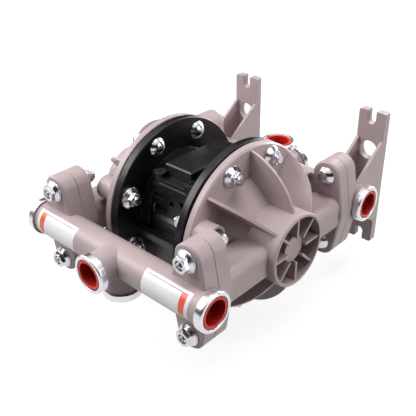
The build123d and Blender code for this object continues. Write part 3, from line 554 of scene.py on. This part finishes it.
def finish_named(name):
    """A finish that the finishes operator has made."""
    return bpy.data.materials[PREFIX + name]


# Shapes of the fasteners
def shank_rule(sizes, start, end):
    """Cuts the thread into a shank between two heights, fading over the last pitch at each end."""

    def rule(angle, radius, height):
        """The radius less the thread's depth inside the threaded span."""
        fade = faded(height, start, end, sizes.pitch)
        on_shank = np.abs(radius - sizes.shank) < sizes.thread
        return radius - on_shank * fade * sizes.thread * thread_wave(angle, height, sizes.pitch)

    return rule


def shank_profile(sizes, end):
    """The shank's side from under the head to its chamfered end on the axis, stepped finely at the
    thread."""
    start = end + sizes.threaded
    stepped = np.arange(start, end, -sizes.pitch / 8)
    side = np.stack([np.full(len(stepped), sizes.shank), stepped], axis=-1)
    tip = sizes.shank - sizes.thread
    ending = [(sizes.shank, end + sizes.thread), (tip, end), (0.0, end)]
    return np.concatenate([side, ending]), shank_rule(sizes, start, end + sizes.thread)


def hexagon_side(sizes, base, corner):
    """The side of a flanged hexagon from its top edge down to its seat, a little wider than it at
    every height, so that the rule can cut it back."""
    top = base + sizes.nut_height
    chamfer = corner - corner * TO_CORNER * CHAMFER_START
    crown_foot = top - chamfer * CHAMFER_FALL
    widths = np.linspace(corner - chamfer, corner, 5)
    crown = np.stack([widths, np.linspace(top, crown_foot, 5)], -1)
    heights = np.linspace(crown_foot - sizes.thread, base + sizes.flange * FLANGE_EDGE, 18)
    flank = np.stack([np.full(len(heights), sizes.flange), heights], -1)
    foot = [(sizes.flange - sizes.thread * 0.4, base)]
    return np.concatenate([crown, flank, foot])


def hexagon_rule(sizes, base, corner):
    """Cuts a turned body back to the larger of a hexagon and the cone of the flange below it."""

    def rule(angle, radius, height):
        """The smaller of the radius and of the hexagon or cone."""
        slope = (sizes.flange - corner * TO_CORNER) / sizes.cone_height
        above_edge = np.maximum(height - base - sizes.flange * FLANGE_EDGE, 0)
        cone = sizes.flange - above_edge * slope
        return np.minimum(radius, np.maximum(cone, hexagon(angle, corner)))

    return rule


def nut_shape(sizes):
    """A flanged nut on its washer, with its bore open."""
    base = sizes.washer_thickness
    top = base + sizes.nut_height
    lead = sizes.thread
    bore = sizes.bore
    inner = [(bore + lead, base), (bore, base + lead), (bore, top - lead), (bore + lead, top)]
    profile = np.concatenate([inner, hexagon_side(sizes, base, sizes.corner)])
    return turned(profile, sizes.facets, hexagon_rule(sizes, base, sizes.corner))


def washer_shape(sizes):
    """A plain washer with rounded edges."""
    bore, edge, top = sizes.bore, sizes.washer, sizes.washer_thickness
    return turned(rounded([(bore, 0), (edge, 0), (edge, top), (bore, top)], top / 4), sizes.facets)


def dome_bolt_shape(sizes, grip):
    """A bolt with a domed head: a sphere's cap above its seat, and a threaded shank below it."""
    sphere = (sizes.dome**2 + sizes.dome_height**2) / (2 * sizes.dome_height)
    half = np.arcsin(sizes.dome / sphere)
    slope = np.linspace(0, half, 12)
    cap = np.stack([sphere * np.sin(slope), sphere * (np.cos(slope) - 1) + sizes.dome_height], -1)
    end = -(grip + sizes.washer_thickness + sizes.nut_height + sizes.bolt_end)
    shank, rule = shank_profile(sizes, end)
    neck = [(sizes.dome - sizes.thread / 2, 0.0), (sizes.shank, 0.0)]
    cap[-1] = (sizes.dome, sizes.thread / 2)
    return turned(np.concatenate([cap, neck, shank]), sizes.facets, rule)


def hexagon_bolt_shape(sizes, grip):
    """A bolt with a flanged hexagonal head that is recessed on top, and a threaded shank."""
    base = sizes.washer_thickness
    top = base + sizes.nut_height
    floor = top - sizes.bolt_end
    recess = [(0, floor), (sizes.shank, floor), (sizes.shank + sizes.thread / 2, top)]
    recess = rounded(recess, sizes.thread, closed=False)
    end = -(grip + 2 * sizes.washer_thickness + sizes.nut_height + sizes.bolt_end) + base
    shank, thread_rule = shank_profile(sizes, end)
    body_rule = hexagon_rule(sizes, base, sizes.head_corner)

    def rule(angle, radius, height):
        """The thread below the seat and the hexagon above it."""
        below, above = thread_rule(angle, radius, height), body_rule(angle, radius, height)
        return np.where(height < base, below, above)

    head = hexagon_side(sizes, base, sizes.head_corner)
    profile = np.concatenate([recess, head, [(sizes.shank, base)], shank])
    return turned(profile, sizes.facets, rule)


def socket_screw_shape(sizes, length_below):
    """A low cylinder head with a hexagonal socket above its seat, and a shank below it."""
    head, height = sizes.screw_head, sizes.screw_head_height
    socket = shank = sizes.screw_shank
    corners = [(0, height / 2), (socket, height / 2), (socket, height), (head, height), (head, 0)]
    corners += [(shank, 0), (shank, -length_below), (0, -length_below)]
    radii = np.array([0, 0, 0, 1, 1, 0, 1, 0]) * sizes.thread * 0.8
    profile = rounded(corners, radii, closed=False)

    def rule(angle, radius, height_here):
        """A hexagon inside the socket, round elsewhere."""
        in_socket = (height_here > height / 2 - TINY) & (radius < socket + TINY)
        return np.where(in_socket, radius / socket * hexagon(angle, socket), radius)

    return turned(profile, sizes.facets, rule)


def spun_turns(count):
    """A turn for each fastener, as they end up when tightened: golden angles."""
    return np.arange(count) * pi * (3 - 5**0.5)


def steel_piece(name, copies, node, pierced=False):
    """Fasteners of polished steel in place of a CAD node. Pierced ones close round their bore."""
    finish = finish_named("polished_steel")
    build(name, copies, finish, [node], (True, pierced))


# Operators
class PUMP_OT_finishes(bpy.types.Operator):
    """Makes the finishes and gives each CAD node its own"""

    bl_idname = "pump.finishes"
    bl_label = "Finishes"

    def execute(self, context):
        make_finishes(context.scene.pump_colours)
        slots = {part["node"]: part["material_slot"] for part in frame["record"]["subparts"]}
        for name, node in frame["nodes"].items():
            finish = finish_named(slots[name])
            if not node.material_slots:
                node.data.materials.append(finish)
            for place in node.material_slots:
                place.material = finish
        return {"FINISHED"}


class PUMP_OT_flange_fasteners(bpy.types.Operator):
    """Makes the bolts, nuts and washers round both covers"""

    bl_idname = "pump.flange_fasteners"
    bl_label = "Flange fasteners"

    def execute(self, context):
        sizes = context.scene.pump_fasteners
        cover_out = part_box("flange_washers")[1][0] - sizes.washer_thickness
        cap_in = AIR_CAP_OUT - sizes.air_flange
        boss_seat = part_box("flange_bolts_long")[1][0] - sizes.dome_height
        heads, bosses = (1, 2, 5, 6), (0, 3, 4, 7)
        outer = bolt_spots(sizes, cover_out, heads, 1)
        inner = bolt_spots(sizes, cap_in, bosses, -1)
        origins, axes = outer[0] + inner[0], outer[1] + inner[1]
        nuts = placed(nut_shape(sizes), origins, axes, spun_turns(len(origins)))
        steel_piece("cover_nuts", nuts, "flange_nuts", pierced=True)
        washers = placed(washer_shape(sizes), origins, axes)
        steel_piece("cover_washers", washers, "flange_washers", pierced=True)
        shape = dome_bolt_shape(sizes, cover_out - cap_in)
        short = placed(shape, *bolt_spots(sizes, cap_in, heads, -1))
        steel_piece("short_cover_bolts", short, "flange_bolts_short")
        shape = dome_bolt_shape(sizes, boss_seat - cap_in)
        long = placed(shape, *bolt_spots(sizes, boss_seat, bosses, 1))
        steel_piece("long_cover_bolts", long, "flange_bolts_long")
        return {"FINISHED"}


class PUMP_OT_manifold_fasteners(bpy.types.Operator):
    """Makes the bolts, nuts and washers that hold the two manifolds"""

    bl_idname = "pump.manifold_fasteners"
    bl_label = "Manifold fasteners"

    def execute(self, context):
        sizes = context.scene.pump_fasteners
        washers_low, washers_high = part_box("manifold_washers")
        column = washers_high[0] - sizes.washer
        row = washers_high[2] - SHAFT[2] - sizes.washer
        outlet_head = washers_low[1] + sizes.washer_thickness
        outlet_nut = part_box("manifold_nuts")[0][1] - sizes.washer_thickness
        inlet_nut = washers_high[1] - sizes.washer_thickness
        inlet_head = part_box("inlet_manifold_bolts")[0][1] + sizes.dome_height
        spots = [(x, z) for x in (-column, column) for z in (SHAFT[2] - row, SHAFT[2] + row)]

        def at(y, direction):
            """The four places at one depth."""
            return [(x, y, z) for x, z in spots], [(0, direction, 0)] * len(spots)

        outlet_heads = at(outlet_head, -1)
        outlet_nuts, inlet_nuts = at(outlet_nut, 1), at(inlet_nut, 1)
        origins, axes = outlet_nuts[0] + inlet_nuts[0], outlet_nuts[1] + inlet_nuts[1]
        nuts = placed(nut_shape(sizes), origins, axes, spun_turns(len(origins)))
        steel_piece("joint_nuts", nuts, "manifold_nuts", pierced=True)
        origins, axes = origins + outlet_heads[0], axes + outlet_heads[1]
        washers = placed(washer_shape(sizes), origins, axes)
        steel_piece("joint_washers", washers, "manifold_washers", pierced=True)
        shape = hexagon_bolt_shape(sizes, outlet_nut - outlet_head)
        bolts = placed(shape, *outlet_heads, spun_turns(len(spots)))
        steel_piece("outlet_joint_bolts", bolts, "outlet_manifold_bolts")
        bolts = placed(dome_bolt_shape(sizes, inlet_nut - inlet_head), *at(inlet_head, -1))
        steel_piece("inlet_joint_bolts", bolts, "inlet_manifold_bolts")
        return {"FINISHED"}


def port_mouths(sizes, side):
    """The mouths of one manifold's four ports, and the way that each faces."""
    low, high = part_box("outlet_port_rings" if side < 0 else "inlet_port_rings")
    tube = SHAFT[1] + side * sizes.tube_offset
    end_y, end_z = (low[1], low[2]) if side < 0 else (high[1], high[2])
    level = SHAFT[2]
    origins = [(low[0], tube, level), (high[0], tube, level), (0, end_y, level), (0, tube, end_z)]
    return origins, [(-1, 0, 0), (1, 0, 0), (0, side, 0), (0, 0, side)]


class PUMP_OT_port_rings(bpy.types.Operator):
    """Makes the polished rings round the eight port mouths"""

    bl_idname = "pump.port_rings"
    bl_label = "Port rings"

    def execute(self, context):
        sizes = context.scene.pump_fittings
        play = 0.00005
        corners = [
            (sizes.ring_mouth, -sizes.ring_face),
            (sizes.ring_mouth, 0),
            (sizes.ring, 0),
            (sizes.ring, -sizes.ring_length),
            (sizes.tube + sizes.ring_flare, -sizes.ring_length),
            (sizes.tube + play, sizes.ring_flare * 1.5 - sizes.ring_length),
            (sizes.tube + play, -sizes.ring_face),
        ]
        radii = [0.0003, 0.0006, 0.0022, 0.0005, 0.0002, 0.0002, 0.0001]
        shape = turned(rounded(corners, radii, steps=6), 96)
        finish = finish_named("turned_steel")
        for side, name in ((-1, "outlet"), (1, "inlet")):
            rings = placed(shape, *port_mouths(sizes, side))
            nodes = [f"{name}_port_rings"]
            build(f"{name}_rings", rings, finish, nodes, (True, True))
        return {"FINISHED"}


class PUMP_OT_port_caps(bpy.types.Operator):
    """Makes the four hollow caps"""

    bl_idname = "pump.port_caps"
    bl_label = "Port caps"

    def execute(self, context):
        sizes = context.scene.pump_fittings
        seat = -sizes.ring_face
        bottom = seat - sizes.cap_depth
        floor = bottom + sizes.cap_floor
        hollow = sizes.cap_body - sizes.cap_wall
        draft = 0.0003
        corners = [
            (0, bottom),
            (sizes.cap_body - sizes.cap_taper, bottom),
            (sizes.cap_body, bottom + 2 * sizes.cap_taper),
            (sizes.cap_body, seat),
            (sizes.cap_rim, seat),
            (sizes.cap_rim, seat + sizes.cap_rim_height),
            (hollow, seat + sizes.cap_rim_height),
            (hollow - draft, bottom + 2 * sizes.cap_taper),
            (hollow - sizes.cap_taper, floor),
            (hollow * 0.55, floor),
            (hollow * 0.5, floor + draft),
            (0, floor + draft),
        ]
        radii = [0, 0.0005, 0.001, 0.0002, 0.0003, 0.0005, 0.0004, 0.001, 0.0006, 0.0002, 0.0002, 0]
        shape = turned(rounded(corners, radii, closed=False), 72)
        for node, side, port in (
            ("outlet_side_port_cap", -1, 1),
            ("outlet_front_port_cap", -1, 2),
            ("inlet_side_port_cap", 1, 1),
            ("inlet_top_port_cap", 1, 3),
        ):
            origins, axes = port_mouths(sizes, side)
            cap = placed(shape, origins[port : port + 1], axes[port : port + 1])
            name = node.replace("_port", "")
            build(name, cap, finish_named("red_plastic"), [node])
        return {"FINISHED"}


class PUMP_OT_port_threads(bpy.types.Operator):
    """Makes the female threads in the four open ports"""

    bl_idname = "pump.port_threads"
    bl_label = "Port threads"

    def execute(self, context):
        sizes = context.scene.pump_fittings
        pitch, crest = 0.0018, 0.0007
        play, skin, lead_in, lead_out = 0.00005, 0.0001, 0.0008, 0.0003
        wall = sizes.thread_radius - play
        start = -sizes.ring_face - lead_in
        end = -sizes.ring_face - sizes.thread_length + lead_out
        heights = np.arange(start, end, -pitch / 8)
        inner = np.stack([np.full(len(heights), wall - skin), heights], -1)
        profile = np.concatenate([[(wall, end), (wall, start)], inner])

        def rule(angle, radius, height):
            """The inner side comes in by the crest where the thread's wave is low."""
            fade = faded(height, start, end, pitch)
            rise = crest * (1 - thread_wave(angle, height, pitch))
            return radius - (radius < wall - TINY) * fade * rise

        shape = turned(profile, 64, rule)
        copies = []
        for side, ports in ((-1, (0, 3)), (1, (0, 2))):
            origins, axes = port_mouths(sizes, side)
            some_axes = [axes[port] for port in ports]
            copies.append(placed(shape, [origins[port] for port in ports], some_axes))
        threads, finish = np.concatenate(copies), finish_named("taupe_plastic")
        build("port_threads", threads, finish, (), (True, True))
        return {"FINISHED"}


class PUMP_OT_small_screws(bpy.types.Operator):
    """Makes the socket screws of the valve cover and of the air caps"""

    bl_idname = "pump.small_screws"
    bl_label = "Small screws"

    def execute(self, context):
        sizes = context.scene.pump_fasteners
        low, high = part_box("valve_cover_screws")
        seat = high[2] - sizes.screw_head_height
        inset = sizes.screw_head
        columns, rows = [(low[axis] + inset, high[axis] - inset) for axis in (0, 1)]
        origins = [(x, y, seat) for x in columns for y in rows]
        shape = socket_screw_shape(sizes, seat - low[2])
        screws = placed(shape, origins, [(0, 0, 1)] * len(origins), spun_turns(len(origins)))
        finish = finish_named("black_plastic")
        build("cover_screws", screws, finish, ["valve_cover_screws"])
        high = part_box("air_cap_screws")[1]
        seat = high[0] - sizes.screw_head_height
        reach = high[2] - SHAFT[2] - sizes.screw_head
        origins, axes = [], []
        for side in (-1, 1):
            for y in (-reach, reach):
                for z in (-reach, reach):
                    origins.append((side * seat, SHAFT[1] + y, SHAFT[2] + z))
                    axes.append((side, 0, 0))
        screws = placed(socket_screw_shape(sizes, seat - AIR_SCREW_TIP), origins, axes)
        build("inner_screws", screws, finish_named("zinc_steel"), ["air_cap_screws"])
        return {"FINISHED"}


class PUMP_OT_stickers(bpy.types.Operator):
    """Makes the two blank stickers that wrap the outlet tube"""

    bl_idname = "pump.stickers"
    bl_label = "Stickers"

    def execute(self, context):
        sizes = context.scene.pump_fittings
        columns, rows = 33, 25
        first_angle, wrapped, play, steep = radians(116), radians(86), 0.00002, 400
        across = np.linspace(0, 1, columns)[:, None]
        around = np.linspace(0, 1, rows)[None, :]
        thickness = sizes.sticker * np.clip(np.minimum(across, 1 - across) * steep, 0, 1)
        angle = first_angle + wrapped * around
        angle = np.concatenate([angle, angle[:, ::-1]], axis=1)
        face = np.broadcast_to(thickness, (columns, rows))
        lift = np.concatenate([face, np.zeros((columns, rows))], axis=1)
        radius = sizes.tube + play + lift
        y = SHAFT[1] - sizes.tube_offset + radius * np.cos(angle)
        z = SHAFT[2] + radius * np.sin(angle)
        finish = finish_named("sticker_film")
        for name, inner_x, outer_x in (("left", -0.043, -0.0944), ("right", 0.042, 0.0915)):
            x = outer_x + (inner_x - outer_x) * across
            points = np.stack([np.broadcast_to(x, y.shape), y, z], -1)
            build(f"{name}_sticker", points[None], finish, (), (False, True))
        return {"FINISHED"}


# The stage's soft lamps by name, place and watts, their size and what they are aimed at
LAMPS = (
    ("key_light", (-0.67, -0.80, 1.00), 13.5),
    ("top_light", (0.14, 0.00, 1.46), 11.5),
    ("left_light", (-1.25, -0.28, 0.63), 8.5),
    ("back_light", (0.00, 1.33, 0.49), 21.0),
    ("right_light", (1.27, 0.42, 0.49), 8.0),
)
LAMP_SIZE = 0.8
LAMP_AIM = Vector((0, 0, 0.07))


class PUMP_OT_stage(bpy.types.Operator):
    """Makes the pale floor, the soft studio light and the camera"""

    bl_idname = "pump.stage"
    bl_label = "Stage"

    def execute(self, context):
        make_floor()
        make_world(context.scene)
        make_dark_wall()
        for name, place, power in LAMPS:
            lamp = bpy.data.lights.new(name, "AREA")
            lamp.size, lamp.energy = LAMP_SIZE, power
            light = in_scene(name, lamp)
            light.location = place
            light.rotation_euler = (LAMP_AIM - Vector(place)).to_track_quat("-Z", "Y").to_euler()
        make_camera(context.scene)
        context.scene.view_settings.view_transform = "Standard"
        return {"FINISHED"}


def seen_directly(tree):
    """1 for rays from the camera and for mirrored and refracted ones."""
    path = add_node(tree, "LightPath")
    seen = path.outputs["Is Camera Ray"]
    for ray in ("Is Glossy Ray", "Is Transmission Ray"):
        seen = computed(tree, "MAXIMUM", seen, path.outputs[ray])
    return seen


def chosen(tree, kind, unseen, seen):
    """Shows one shader to the eye and lets the other light the scene, through an output node."""
    inputs = {"Fac": seen_directly(tree), 1: unseen.outputs[0], 2: seen.outputs[0]}
    choice = add_node(tree, "MixShader", inputs)
    add_node(tree, kind, {"Surface": choice.outputs[0]})


def staged(name, points, faces, finish):
    """A piece of the stage, from its points and faces."""
    mesh = bpy.data.meshes.new(name)
    mesh.from_pydata(points.reshape(-1, 3).tolist(), [], faces.tolist())
    mesh.materials.append(finish)
    thing = in_scene(name, mesh)
    return thing


def make_floor():
    """A level grid just under the pump: x and y run over a square and z is constant. Its pale glow
    rises to the white of the background away from the pump."""
    steps, half, level = 5, 3.0, -0.0002
    near_glow, far_glow, near, far = 0.86, 1.0, 0.4, 1.3
    x, y = np.meshgrid(*[np.linspace(-half, half, steps)] * 2, indexing="ij")
    finish = bpy.data.materials.new("pale_floor")
    tree = empty_tree(finish)
    paper = add_node(tree, "BsdfDiffuse", {"Color": (0.20, 0.20, 0.20, 1.0)})
    where = add_node(tree, "TexCoord")
    away = add_node(tree, "VectorMath", {0: where.outputs["Object"]}, operation="LENGTH")
    strength = ranged(tree, away.outputs["Value"], near_glow, far_glow, near, far)
    glow = add_node(tree, "Emission", {"Strength": strength})
    both = add_node(tree, "AddShader", {0: paper.outputs[0], 1: glow.outputs[0]})
    chosen(tree, "OutputMaterial", paper, both)
    points = np.stack([x, y, np.full_like(x, level)], -1)
    staged("floor", points, grid_faces(steps, steps, False, False), finish)


def make_dark_wall():
    """The dim studio wall that only mirrored rays meet: a circle in x and y, carried up along z."""
    sides, levels, radius, top = 48, 3, 2.4, 1.9
    angle = np.linspace(0, FULL_TURN, sides, endpoint=False)[:, None]
    height = np.linspace(0.0, top, levels)[None, :]
    circle = np.broadcast_arrays(radius * np.cos(angle), radius * np.sin(angle), height)
    tree, surface, where = new_finish("dark_wall")
    tone = tinted(tree, cloudy(tree, where, 1.5), (0.02, 0.02, 0.022), (0.05, 0.05, 0.053))
    feed(tree, surface, {"Base Color": tone, "Roughness": 0.9})
    faces = grid_faces(sides, levels, True, False)
    wall = staged("dark_wall", np.stack(circle, -1), faces, finish_named("dark_wall"))
    wall.visible_camera = wall.visible_diffuse = False
    wall.visible_shadow = wall.visible_transmission = False


def make_world(scene):
    """White to the eye and in reflections, a plain even light on the pump."""
    scene.world = bpy.data.worlds.new("studio")
    tree = empty_tree(scene.world)
    white = (1.0, 1.0, 1.0, 1.0)
    lit, seen = (
        add_node(tree, "Background", {"Color": white, "Strength": strength})
        for strength in (0.04, 1.0)
    )
    chosen(tree, "OutputWorld", lit, seen)


def make_camera(scene):
    """The camera at the photograph's angle, by azimuth, elevation, roll, distance and lens."""
    azimuth, elevation, roll, distance = radians(43.25), radians(30.14), radians(-0.97), 0.61682
    target = Vector((-0.01187, 0.00519, 0.0691))
    level = cos(elevation)
    back = Vector((sin(azimuth) * level, -cos(azimuth) * level, sin(elevation)))
    right = Vector((cos(azimuth), sin(azimuth), 0.0))
    up = back.cross(right)
    turned_right = right * cos(roll) + up * sin(roll)
    turned_up = up * cos(roll) - right * sin(roll)
    lens = bpy.data.cameras.new("camera")
    lens.sensor_width, lens.lens = 36.0, 56.02
    lens.clip_start = 0.01
    camera = in_scene("camera", lens)
    axes = Matrix((turned_right, turned_up, back)).transposed()
    camera.matrix_world = Matrix.Translation(target + back * distance) @ axes.to_4x4()
    scene.camera = camera


class PUMP_PT_panel(bpy.types.Panel):
    """Lists the steps that dress the pump, with their sizes and colours"""

    bl_idname = "PUMP_PT_panel"
    bl_label = "Diaphragm pump"
    bl_space_type = "VIEW_3D"
    bl_region_type = "UI"
    bl_category = "Pump"

    def draw(self, context):
        for step in STEPS:
            self.layout.operator(step.bl_idname)
        scene = context.scene
        for group in (scene.pump_fasteners, scene.pump_fittings, scene.pump_colours):
            column = self.layout.column(align=True)
            for name in group.__annotations__:
                column.prop(group, name)


STEPS = (
    PUMP_OT_finishes,
    PUMP_OT_flange_fasteners,
    PUMP_OT_manifold_fasteners,
    PUMP_OT_port_rings,
    PUMP_OT_port_caps,
    PUMP_OT_port_threads,
    PUMP_OT_small_screws,
    PUMP_OT_stickers,
    PUMP_OT_stage,
)
GROUPS = (PumpFastenerSizes, PumpFittingSizes, PumpColours)


def register():
    """Adds the groups, steps and panel to Blender."""
    for kind in GROUPS + STEPS + (PUMP_PT_panel,):
        bpy.utils.register_class(kind)
    bpy.types.Scene.pump_fasteners = PointerProperty(type=PumpFastenerSizes)
    bpy.types.Scene.pump_fittings = PointerProperty(type=PumpFittingSizes)
    bpy.types.Scene.pump_colours = PointerProperty(type=PumpColours)


def unregister():
    """Takes the groups, steps and panel out of Blender."""
    del bpy.types.Scene.pump_fasteners
    del bpy.types.Scene.pump_fittings
    del bpy.types.Scene.pump_colours
    for kind in reversed(GROUPS + STEPS + (PUMP_PT_panel,)):
        bpy.utils.unregister_class(kind)


def main():
    """Dresses the pump step by step."""
    register()
    bpy.ops.pump.finishes()
    bpy.ops.pump.flange_fasteners()
    bpy.ops.pump.manifold_fasteners()
    bpy.ops.pump.port_rings()
    bpy.ops.pump.port_caps()
    bpy.ops.pump.port_threads()
    bpy.ops.pump.small_screws()
    bpy.ops.pump.stickers()
    bpy.ops.pump.stage()


if __name__ == "__main__":
    main()
